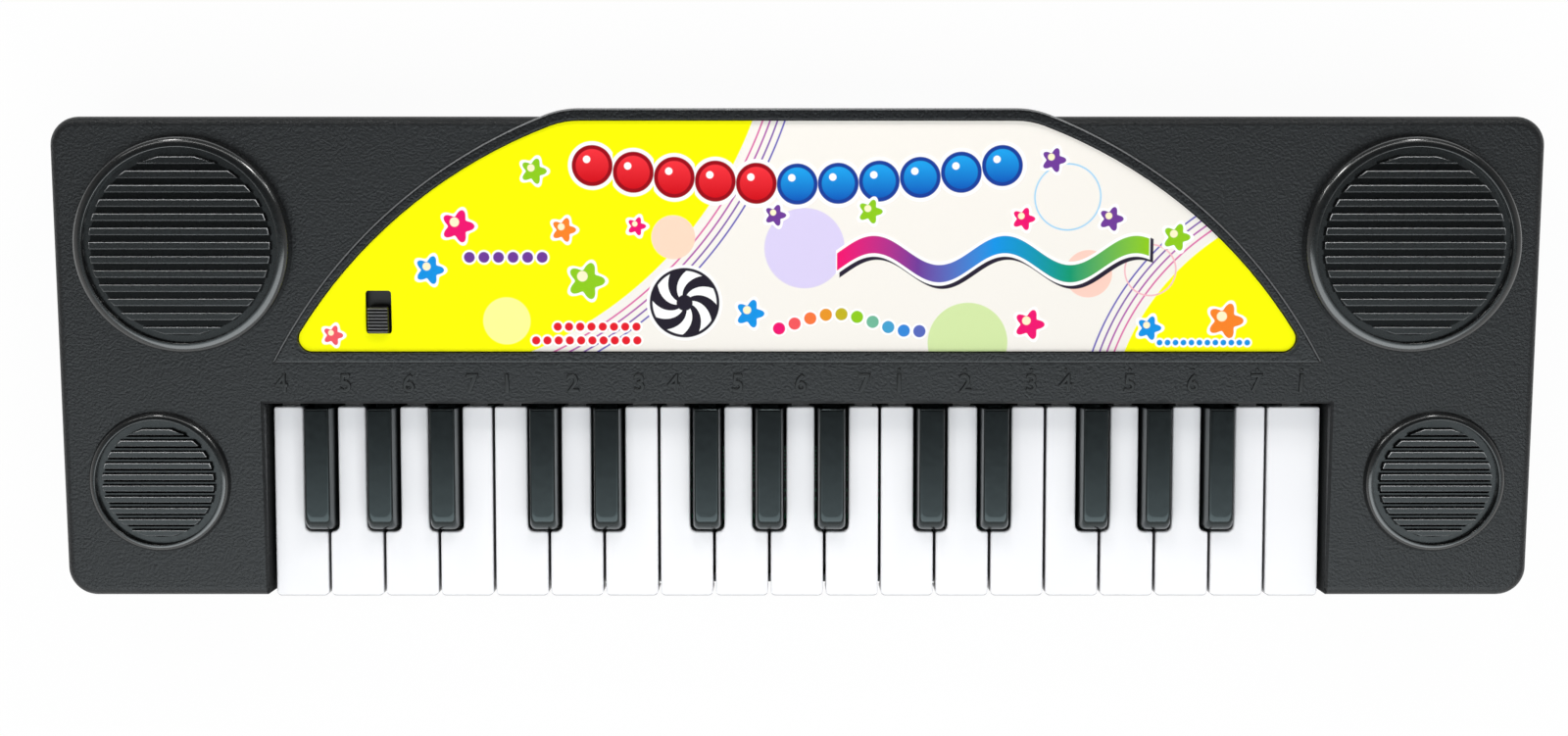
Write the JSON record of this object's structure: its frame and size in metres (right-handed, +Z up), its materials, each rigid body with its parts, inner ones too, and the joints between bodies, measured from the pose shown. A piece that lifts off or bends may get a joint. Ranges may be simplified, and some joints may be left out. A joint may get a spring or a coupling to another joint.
{
  "type": "toy electronic keyboard",
  "caption": "Toy electronic keyboard: rocking piano keys in a low moulded case with an arched control panel, slide switch, round grilles and a battery bay.",
  "frame": {"origin": "on the table, under the middle of the outline", "axes": "+X along the row of keys towards the high notes, +Y from the player to the rear, +Z up"},
  "size_m": [0.409, 0.136, 0.0407],
  "materials": {
    "case_grey": "fine moulded grain",
    "grille_black": "polished moulding",
    "key_white": "satin gloss moulding",
    "key_black": "gloss moulding",
    "label_print": "printed film in yellow and cream",
    "knob_black": "ribbed moulding",
    "rod_steel": "drawn rod",
    "screw_steel": "zinc plated",
    "contact_steel": "nickel plated strip",
    "switch_steel": "tinned can",
    "board_green": "solder mask over copper traces",
    "chip_black": "moulded package",
    "dome_rubber": "silicone",
    "speaker_shell": "moulded frame",
    "magnet_ferrite": "sintered ferrite",
    "cone_film": "pressed membrane",
    "lead_vinyl": "insulated flat wire"
  },
  "bodies": {
    "case": {"upper_case": "case_grey", "lower_case": "case_grey", "rear_grilles": "grille_black", "front_grilles": "grille_black", "panel_label": "label_print", "pivot_rod": "rod_steel", "case_screws": "screw_steel", "battery_contacts": "contact_steel", "switch_housing": "switch_steel", "circuit_board": "board_green", "switch_board": "board_green", "sound_chip": "chip_black", "contact_strip": "dome_rubber", "speaker_frame": "speaker_shell", "speaker_magnet": "magnet_ferrite", "speaker_cone": "cone_film", "speaker_leads": "lead_vinyl", "switch_leads": "lead_vinyl", "battery_leads": "lead_vinyl"},
    "white_key_01": {"white_key_01": "key_white"},
    "white_key_02": {"white_key_02": "key_white"},
    "white_key_03": {"white_key_03": "key_white"},
    "white_key_04": {"white_key_04": "key_white"},
    "white_key_05": {"white_key_05": "key_white"},
    "white_key_06": {"white_key_06": "key_white"},
    "white_key_07": {"white_key_07": "key_white"},
    "white_key_08": {"white_key_08": "key_white"},
    "white_key_09": {"white_key_09": "key_white"},
    "white_key_10": {"white_key_10": "key_white"},
    "white_key_11": {"white_key_11": "key_white"},
    "white_key_12": {"white_key_12": "key_white"},
    "white_key_13": {"white_key_13": "key_white"},
    "white_key_14": {"white_key_14": "key_white"},
    "white_key_15": {"white_key_15": "key_white"},
    "white_key_16": {"white_key_16": "key_white"},
    "white_key_17": {"white_key_17": "key_white"},
    "white_key_18": {"white_key_18": "key_white"},
    "white_key_19": {"white_key_19": "key_white"},
    "black_key_01": {"black_key_01": "key_black"},
    "black_key_02": {"black_key_02": "key_black"},
    "black_key_03": {"black_key_03": "key_black"},
    "black_key_04": {"black_key_04": "key_black"},
    "black_key_05": {"black_key_05": "key_black"},
    "black_key_06": {"black_key_06": "key_black"},
    "black_key_07": {"black_key_07": "key_black"},
    "black_key_08": {"black_key_08": "key_black"},
    "black_key_09": {"black_key_09": "key_black"},
    "black_key_10": {"black_key_10": "key_black"},
    "black_key_11": {"black_key_11": "key_black"},
    "black_key_12": {"black_key_12": "key_black"},
    "black_key_13": {"black_key_13": "key_black"},
    "switch_knob": {"switch_knob": "knob_black"},
    "battery_door": {"battery_door": "case_grey"}
  },
  "joints": [
    {"name": "switch_slide", "type": "slide", "parent": "case", "child": "switch_knob", "axis": [0, 0.9986, 0.0523], "range_m": [0, 0.0043]},
    {"name": "battery_door_swing", "type": "hinge", "parent": "case", "child": "battery_door", "pos_m": [0, 0.01495, 0.0025], "axis": [-1, 0, 0], "range_deg": [0, 45]},
    {"name": "white_key_01_press", "type": "hinge", "parent": "case", "child": "white_key_01", "pos_m": [0, 0.00855, 0.0202], "axis": [1, 0, 0], "range_deg": [0, 3.74], "stiffness_Nm_per_rad": 0.15, "springref_deg": -11.46, "deforming": ["contact_strip"]},
    {"name": "white_key_02_press", "type": "hinge", "parent": "case", "child": "white_key_02", "pos_m": [0, 0.00855, 0.0202], "axis": [1, 0, 0], "range_deg": [0, 3.74], "stiffness_Nm_per_rad": 0.15, "springref_deg": -11.46, "deforming": ["contact_strip"]},
    {"name": "white_key_03_press", "type": "hinge", "parent": "case", "child": "white_key_03", "pos_m": [0, 0.00855, 0.0202], "axis": [1, 0, 0], "range_deg": [0, 3.74], "stiffness_Nm_per_rad": 0.15, "springref_deg": -11.46, "deforming": ["contact_strip"]},
    {"name": "white_key_04_press", "type": "hinge", "parent": "case", "child": "white_key_04", "pos_m": [0, 0.00855, 0.0202], "axis": [1, 0, 0], "range_deg": [0, 3.74], "stiffness_Nm_per_rad": 0.15, "springref_deg": -11.46, "deforming": ["contact_strip"]},
    {"name": "white_key_05_press", "type": "hinge", "parent": "case", "child": "white_key_05", "pos_m": [0, 0.00855, 0.0202], "axis": [1, 0, 0], "range_deg": [0, 3.74], "stiffness_Nm_per_rad": 0.15, "springref_deg": -11.46, "deforming": ["contact_strip"]},
    {"name": "white_key_06_press", "type": "hinge", "parent": "case", "child": "white_key_06", "pos_m": [0, 0.00855, 0.0202], "axis": [1, 0, 0], "range_deg": [0, 3.74], "stiffness_Nm_per_rad": 0.15, "springref_deg": -11.46, "deforming": ["contact_strip"]},
    {"name": "white_key_07_press", "type": "hinge", "parent": "case", "child": "white_key_07", "pos_m": [0, 0.00855, 0.0202], "axis": [1, 0, 0], "range_deg": [0, 3.74], "stiffness_Nm_per_rad": 0.15, "springref_deg": -11.46, "deforming": ["contact_strip"]},
    {"name": "white_key_08_press", "type": "hinge", "parent": "case", "child": "white_key_08", "pos_m": [0, 0.00855, 0.0202], "axis": [1, 0, 0], "range_deg": [0, 3.74], "stiffness_Nm_per_rad": 0.15, "springref_deg": -11.46, "deforming": ["contact_strip"]},
    {"name": "white_key_09_press", "type": "hinge", "parent": "case", "child": "white_key_09", "pos_m": [0, 0.00855, 0.0202], "axis": [1, 0, 0], "range_deg": [0, 3.74], "stiffness_Nm_per_rad": 0.15, "springref_deg": -11.46, "deforming": ["contact_strip"]},
    {"name": "white_key_10_press", "type": "hinge", "parent": "case", "child": "white_key_10", "pos_m": [0, 0.00855, 0.0202], "axis": [1, 0, 0], "range_deg": [0, 3.74], "stiffness_Nm_per_rad": 0.15, "springref_deg": -11.46, "deforming": ["contact_strip"]},
    {"name": "white_key_11_press", "type": "hinge", "parent": "case", "child": "white_key_11", "pos_m": [0, 0.00855, 0.0202], "axis": [1, 0, 0], "range_deg": [0, 3.74], "stiffness_Nm_per_rad": 0.15, "springref_deg": -11.46, "deforming": ["contact_strip"]},
    {"name": "white_key_12_press", "type": "hinge", "parent": "case", "child": "white_key_12", "pos_m": [0, 0.00855, 0.0202], "axis": [1, 0, 0], "range_deg": [0, 3.74], "stiffness_Nm_per_rad": 0.15, "springref_deg": -11.46, "deforming": ["contact_strip"]},
    {"name": "white_key_13_press", "type": "hinge", "parent": "case", "child": "white_key_13", "pos_m": [0, 0.00855, 0.0202], "axis": [1, 0, 0], "range_deg": [0, 3.74], "stiffness_Nm_per_rad": 0.15, "springref_deg": -11.46, "deforming": ["contact_strip"]},
    {"name": "white_key_14_press", "type": "hinge", "parent": "case", "child": "white_key_14", "pos_m": [0, 0.00855, 0.0202], "axis": [1, 0, 0], "range_deg": [0, 3.74], "stiffness_Nm_per_rad": 0.15, "springref_deg": -11.46, "deforming": ["contact_strip"]},
    {"name": "white_key_15_press", "type": "hinge", "parent": "case", "child": "white_key_15", "pos_m": [0, 0.00855, 0.0202], "axis": [1, 0, 0], "range_deg": [0, 3.74], "stiffness_Nm_per_rad": 0.15, "springref_deg": -11.46, "deforming": ["contact_strip"]},
    {"name": "white_key_16_press", "type": "hinge", "parent": "case", "child": "white_key_16", "pos_m": [0, 0.00855, 0.0202], "axis": [1, 0, 0], "range_deg": [0, 3.74], "stiffness_Nm_per_rad": 0.15, "springref_deg": -11.46, "deforming": ["contact_strip"]},
    {"name": "white_key_17_press", "type": "hinge", "parent": "case", "child": "white_key_17", "pos_m": [0, 0.00855, 0.0202], "axis": [1, 0, 0], "range_deg": [0, 3.74], "stiffness_Nm_per_rad": 0.15, "springref_deg": -11.46, "deforming": ["contact_strip"]},
    {"name": "white_key_18_press", "type": "hinge", "parent": "case", "child": "white_key_18", "pos_m": [0, 0.00855, 0.0202], "axis": [1, 0, 0], "range_deg": [0, 3.74], "stiffness_Nm_per_rad": 0.15, "springref_deg": -11.46, "deforming": ["contact_strip"]},
    {"name": "white_key_19_press", "type": "hinge", "parent": "case", "child": "white_key_19", "pos_m": [0, 0.00855, 0.0202], "axis": [1, 0, 0], "range_deg": [0, 3.74], "stiffness_Nm_per_rad": 0.15, "springref_deg": -11.46, "deforming": ["contact_strip"]},
    {"name": "black_key_01_press", "type": "hinge", "parent": "case", "child": "black_key_01", "pos_m": [0, 0.00855, 0.0202], "axis": [1, 0, 0], "range_deg": [0, 3.74], "stiffness_Nm_per_rad": 0.15, "springref_deg": -11.46, "deforming": ["contact_strip"]},
    {"name": "black_key_02_press", "type": "hinge", "parent": "case", "child": "black_key_02", "pos_m": [0, 0.00855, 0.0202], "axis": [1, 0, 0], "range_deg": [0, 3.74], "stiffness_Nm_per_rad": 0.15, "springref_deg": -11.46, "deforming": ["contact_strip"]},
    {"name": "black_key_03_press", "type": "hinge", "parent": "case", "child": "black_key_03", "pos_m": [0, 0.00855, 0.0202], "axis": [1, 0, 0], "range_deg": [0, 3.74], "stiffness_Nm_per_rad": 0.15, "springref_deg": -11.46, "deforming": ["contact_strip"]},
    {"name": "black_key_04_press", "type": "hinge", "parent": "case", "child": "black_key_04", "pos_m": [0, 0.00855, 0.0202], "axis": [1, 0, 0], "range_deg": [0, 3.74], "stiffness_Nm_per_rad": 0.15, "springref_deg": -11.46, "deforming": ["contact_strip"]},
    {"name": "black_key_05_press", "type": "hinge", "parent": "case", "child": "black_key_05", "pos_m": [0, 0.00855, 0.0202], "axis": [1, 0, 0], "range_deg": [0, 3.74], "stiffness_Nm_per_rad": 0.15, "springref_deg": -11.46, "deforming": ["contact_strip"]},
    {"name": "black_key_06_press", "type": "hinge", "parent": "case", "child": "black_key_06", "pos_m": [0, 0.00855, 0.0202], "axis": [1, 0, 0], "range_deg": [0, 3.74], "stiffness_Nm_per_rad": 0.15, "springref_deg": -11.46, "deforming": ["contact_strip"]},
    {"name": "black_key_07_press", "type": "hinge", "parent": "case", "child": "black_key_07", "pos_m": [0, 0.00855, 0.0202], "axis": [1, 0, 0], "range_deg": [0, 3.74], "stiffness_Nm_per_rad": 0.15, "springref_deg": -11.46, "deforming": ["contact_strip"]},
    {"name": "black_key_08_press", "type": "hinge", "parent": "case", "child": "black_key_08", "pos_m": [0, 0.00855, 0.0202], "axis": [1, 0, 0], "range_deg": [0, 3.74], "stiffness_Nm_per_rad": 0.15, "springref_deg": -11.46, "deforming": ["contact_strip"]},
    {"name": "black_key_09_press", "type": "hinge", "parent": "case", "child": "black_key_09", "pos_m": [0, 0.00855, 0.0202], "axis": [1, 0, 0], "range_deg": [0, 3.74], "stiffness_Nm_per_rad": 0.15, "springref_deg": -11.46, "deforming": ["contact_strip"]},
    {"name": "black_key_10_press", "type": "hinge", "parent": "case", "child": "black_key_10", "pos_m": [0, 0.00855, 0.0202], "axis": [1, 0, 0], "range_deg": [0, 3.74], "stiffness_Nm_per_rad": 0.15, "springref_deg": -11.46, "deforming": ["contact_strip"]},
    {"name": "black_key_11_press", "type": "hinge", "parent": "case", "child": "black_key_11", "pos_m": [0, 0.00855, 0.0202], "axis": [1, 0, 0], "range_deg": [0, 3.74], "stiffness_Nm_per_rad": 0.15, "springref_deg": -11.46, "deforming": ["contact_strip"]},
    {"name": "black_key_12_press", "type": "hinge", "parent": "case", "child": "black_key_12", "pos_m": [0, 0.00855, 0.0202], "axis": [1, 0, 0], "range_deg": [0, 3.74], "stiffness_Nm_per_rad": 0.15, "springref_deg": -11.46, "deforming": ["contact_strip"]},
    {"name": "black_key_13_press", "type": "hinge", "parent": "case", "child": "black_key_13", "pos_m": [0, 0.00855, 0.0202], "axis": [1, 0, 0], "range_deg": [0, 3.74], "stiffness_Nm_per_rad": 0.15, "springref_deg": -11.46, "deforming": ["contact_strip"]}
  ]
}
